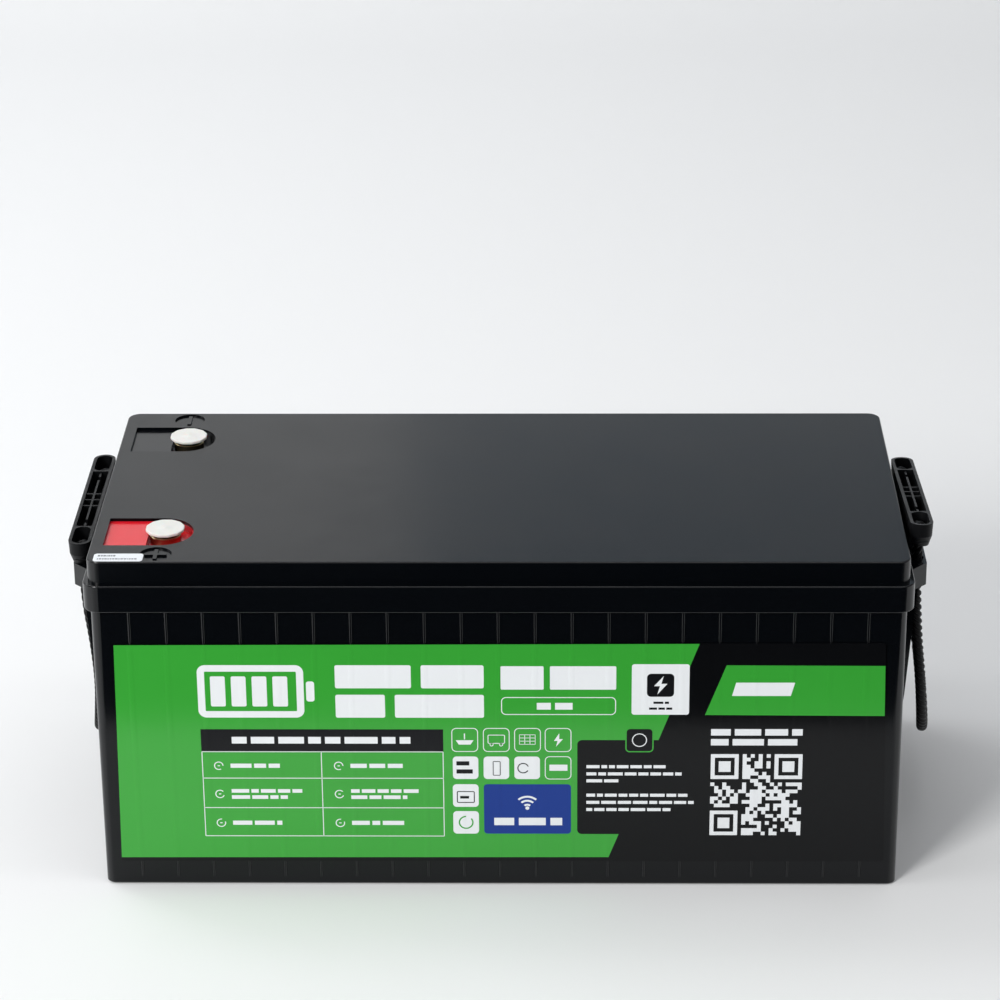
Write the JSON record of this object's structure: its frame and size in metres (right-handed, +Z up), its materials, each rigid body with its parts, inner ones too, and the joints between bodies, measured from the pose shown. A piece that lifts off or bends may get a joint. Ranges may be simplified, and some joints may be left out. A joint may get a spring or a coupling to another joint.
{
  "type": "deep cycle battery",
  "caption": "Sealed rectangular deep cycle battery with rope handles at both ends, screw terminals in recessed pockets and thumb caps over them.",
  "frame": {"origin": "centre of the flat base, on the surface the battery stands on", "axes": "+X along the long side away from the terminals, +Y towards the long side beside the negative terminal, +Z up"},
  "size_m": [0.5387, 0.238, 0.2254],
  "materials": {
    "case_plastic": "glossy moulded ABS, black",
    "lid_plastic": "satin moulded ABS, black",
    "gasket_rubber": "soft silicone, black",
    "label_film": "printed polypropylene film, green and black",
    "sticker_paper": "coated paper, white",
    "red_plastic": "moulded ABS, red",
    "black_insert": "moulded ABS, black",
    "terminal_metal": "turned brass",
    "cap_plastic": "moulded polypropylene, natural white",
    "fastener_steel": "zinc plated",
    "grip_plastic": "moulded polypropylene, black",
    "rope_fibre": "three-strand laid polypropylene rope, black",
    "separator_sheet": "glass-epoxy sheet",
    "plate_aluminium": "mill finish",
    "foam": "closed-cell foam, dark grey",
    "strap_steel": "stainless band",
    "busbar_aluminium": "nickel plated",
    "tray_plastic": "black sheet",
    "board_laminate": "green solder mask",
    "component_plastic": "black epoxy",
    "connector_plastic": "natural nylon",
    "shield_steel": "tinned shield",
    "lead_red": "silicone insulation, red",
    "lead_black": "silicone insulation, black",
    "lug_tin": "tinned copper",
    "cell_wrap": "blue film over an aluminium can"
  },
  "bodies": {
    "battery": {"balance_harness": "lead_black", "base_pad": "foam", "board_connectors": "connector_plastic", "board_screws": "fastener_steel", "board_tray": "tray_plastic", "busbar_nuts": "fastener_steel", "busbars": "busbar_aluminium", "cable_lugs": "lug_tin", "case": "case_plastic", "cell_1": "cell_wrap", "cell_2": "cell_wrap", "cell_3": "cell_wrap", "cell_4": "cell_wrap", "cell_5": "cell_wrap", "cell_6": "cell_wrap", "cell_7": "cell_wrap", "cell_8": "cell_wrap", "cell_separators": "separator_sheet", "control_board": "board_laminate", "end_foam_pads": "foam", "end_plates": "plate_aluminium", "front_label": "label_film", "heat_sink": "plate_aluminium", "lid": "lid_plastic", "lid_gasket": "gasket_rubber", "negative_terminal": "terminal_metal", "negative_terminal_base": "black_insert", "output_negative_lead": "lead_black", "positive_lead": "lead_red", "positive_terminal": "terminal_metal", "positive_terminal_base": "red_plastic", "serial_sticker": "sticker_paper", "side_sheet": "separator_sheet", "stack_negative_lead": "lead_black", "straps": "strap_steel", "temperature_sensor": "component_plastic", "terminal_nuts": "fastener_steel", "terminal_washers": "fastener_steel", "thermal_pad": "foam", "transistors": "component_plastic", "wireless_module": "shield_steel"},
    "handle_left": {"handle_grip_left": "grip_plastic", "handle_rope_left": "rope_fibre", "rope_knots_left": "rope_fibre"},
    "handle_right": {"handle_grip_right": "grip_plastic", "handle_rope_right": "rope_fibre", "rope_knots_right": "rope_fibre"},
    "positive_washer": {"positive_cap_washer": "gasket_rubber"},
    "positive_cap_body": {"positive_cap": "cap_plastic"},
    "negative_washer": {"negative_cap_washer": "gasket_rubber"},
    "negative_cap_body": {"negative_cap": "cap_plastic"}
  },
  "joints": [
    {"name": "handle_left_lift", "type": "slide", "parent": "battery", "child": "handle_left", "axis": [0, 0, 1], "range_m": [0, 0.085], "deforming": ["handle_rope_left"]},
    {"name": "handle_right_lift", "type": "slide", "parent": "battery", "child": "handle_right", "axis": [0, 0, 1], "range_m": [0, 0.085], "deforming": ["handle_rope_right"]},
    {"name": "positive_cap_rise", "type": "slide", "parent": "battery", "child": "positive_washer", "axis": [0, 0, 1], "range_m": [0, 0.0101]},
    {"name": "positive_cap_turn", "type": "hinge", "parent": "positive_washer", "child": "positive_cap_body", "pos_m": [-0.2025, -0.072, 0.2221], "axis": [0, 0, 1], "range_deg": [0, 2880]},
    {"name": "negative_cap_rise", "type": "slide", "parent": "battery", "child": "negative_washer", "axis": [0, 0, 1], "range_m": [0, 0.0101]},
    {"name": "negative_cap_turn", "type": "hinge", "parent": "negative_washer", "child": "negative_cap_body", "pos_m": [-0.2025, 0.072, 0.2221], "axis": [0, 0, 1], "range_deg": [0, 2880]}
  ],
  "couplings": [
    {"joint": "positive_cap_rise", "follows": "positive_cap_turn", "m_per_rad": 0.00019894},
    {"joint": "negative_cap_rise", "follows": "negative_cap_turn", "m_per_rad": 0.00019894}
  ]
}
